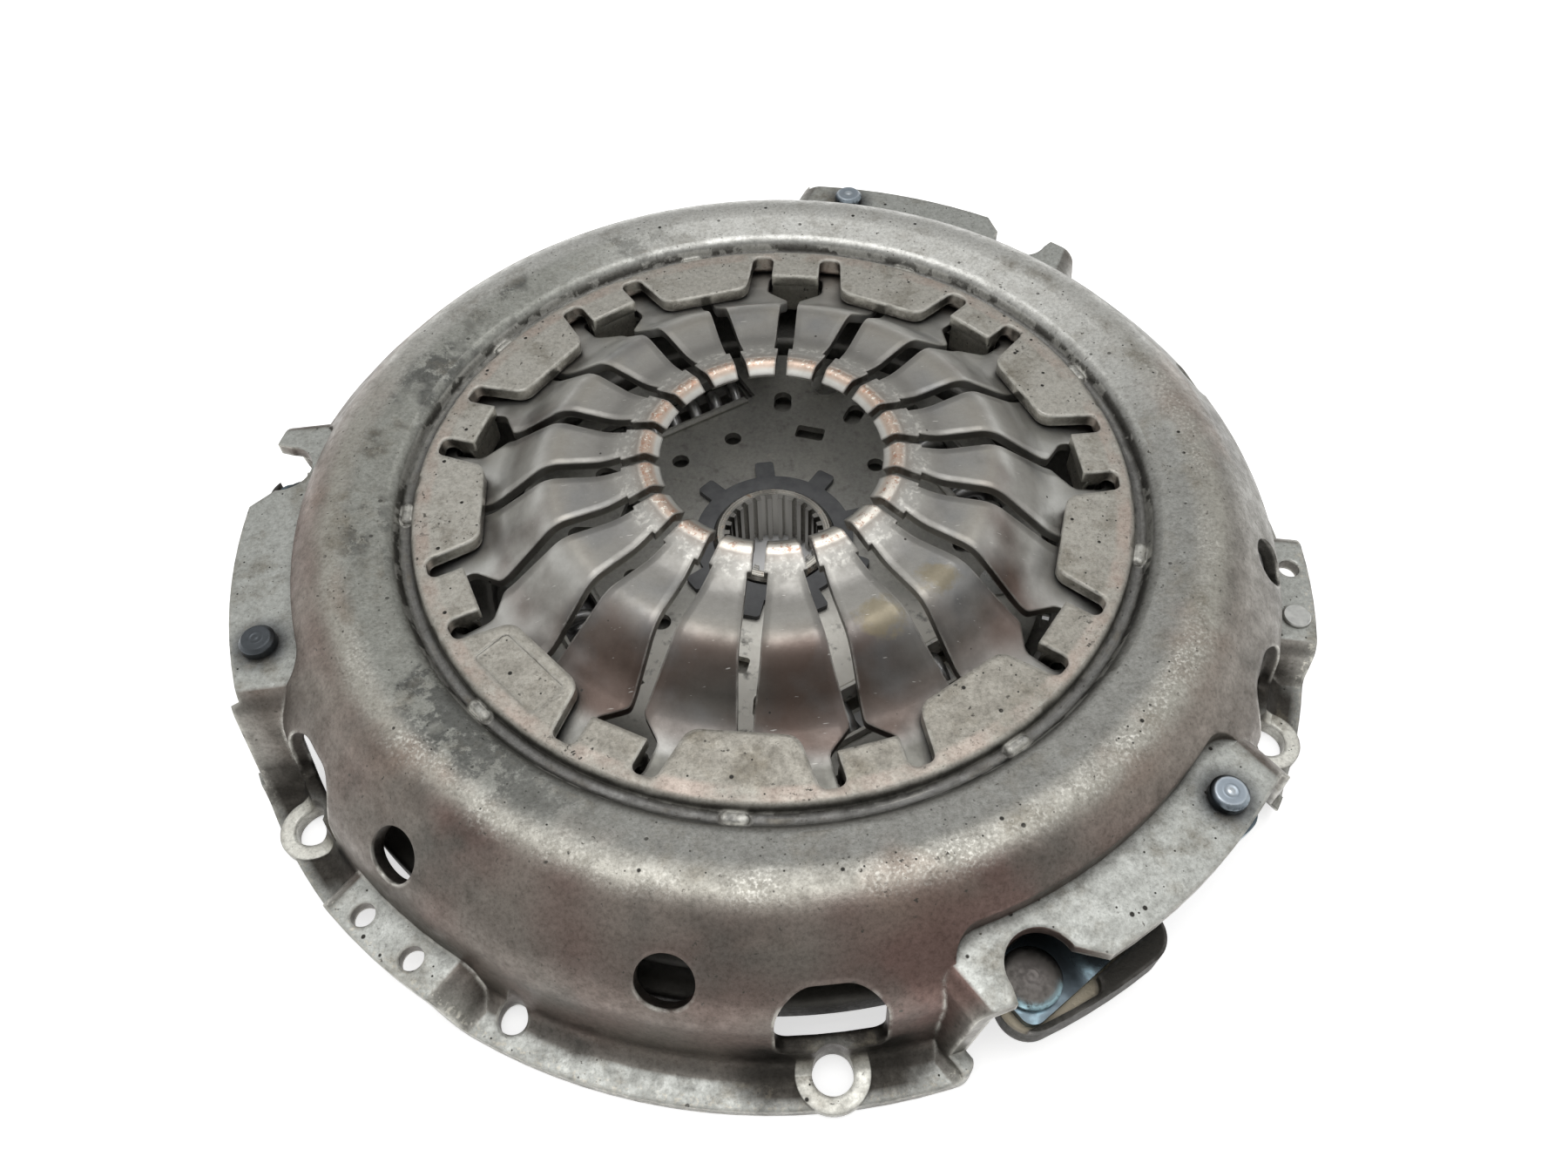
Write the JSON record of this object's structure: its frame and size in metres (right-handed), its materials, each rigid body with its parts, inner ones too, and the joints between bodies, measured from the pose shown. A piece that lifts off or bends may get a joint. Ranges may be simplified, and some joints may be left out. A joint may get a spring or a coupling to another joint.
{
  "type": "clutch pressure plate",
  "caption": "Round pressed-steel clutch cover with bolt flange, fingered diaphragm spring, strap-driven pressure plate and sprung driven disc.",
  "frame": {"origin": "centre of the bolt circle, on the flange face that meets the flywheel", "axes": "+Z along the clutch axis towards the gearbox; X and Y in the flange face, with one dowel hole on +X"},
  "size_m": [0.291, 0.2946, 0.053],
  "materials": {
    "cover_steel": "bare pressed steel, oxidised and worn",
    "ring_steel": "dull rolled steel",
    "spring_steel": "smooth shot-peened spring steel, heat tinted",
    "cast_iron": "rough grey casting, machined face",
    "strap_steel": "blued spring steel",
    "rivet_steel": "blackened steel",
    "friction_lining": "woven friction lining",
    "brass_rivet": "dull brass",
    "disc_steel": "dark phosphated steel",
    "friction_plastic": "black moulded plastic",
    "hub_steel": "machined steel"
  },
  "bodies": {
    "cover": {"cover": "cover_steel", "support_ring": "ring_steel", "drive_straps_1": "strap_steel", "drive_straps_2": "strap_steel", "drive_straps_3": "strap_steel", "strap_cover_rivets": "rivet_steel", "balance_rivet": "rivet_steel"},
    "diaphragm": {"diaphragm_spring": "spring_steel"},
    "pressure_plate": {"pressure_plate": "cast_iron", "strap_plate_rivets": "rivet_steel"},
    "driven_disc": {"facing_flywheel_side": "friction_lining", "facing_plate_side": "friction_lining", "cushion_segments": "ring_steel", "facing_rivets_flywheel_side": "brass_rivet", "facing_rivets_plate_side": "brass_rivet", "segment_rivets": "rivet_steel", "rear_retainer": "disc_steel", "front_retainer": "disc_steel", "stop_pins": "rivet_steel", "damper_springs": "spring_steel", "tabbed_friction_ring": "friction_plastic", "front_bush": "friction_plastic", "rear_bush": "friction_plastic", "front_friction_washer": "friction_plastic", "rear_friction_washer": "friction_plastic", "cone_spring": "spring_steel"},
    "hub": {"hub": "hub_steel", "hub_flange": "disc_steel"}
  },
  "joints": [
    {"name": "plate_lift", "type": "slide", "parent": "cover", "child": "pressure_plate", "axis": [0, 0, 1], "range_m": [0, 0.0018], "stiffness_N_per_m": 60000, "deforming": ["drive_straps_1", "drive_straps_2", "drive_straps_3"]},
    {"name": "finger_press", "type": "slide", "parent": "cover", "child": "diaphragm", "axis": [0, 0, -1], "range_m": [0, 0.008], "stiffness_N_per_m": 20000, "deforming": ["diaphragm_spring"]},
    {"name": "disc_spin", "type": "hinge", "parent": "cover", "child": "driven_disc", "pos_m": [0, 0, 0], "axis": [0, 0, 1], "continuous": true},
    {"name": "hub_damper", "type": "hinge", "parent": "driven_disc", "child": "hub", "pos_m": [0, 0, 0], "axis": [0, 0, 1], "range_deg": [-10, 10], "stiffness_Nm_per_rad": 200, "deforming": ["damper_springs"]}
  ],
  "couplings": [
    {"joint": "finger_press", "follows": "plate_lift", "ratio": 4.4}
  ]
}
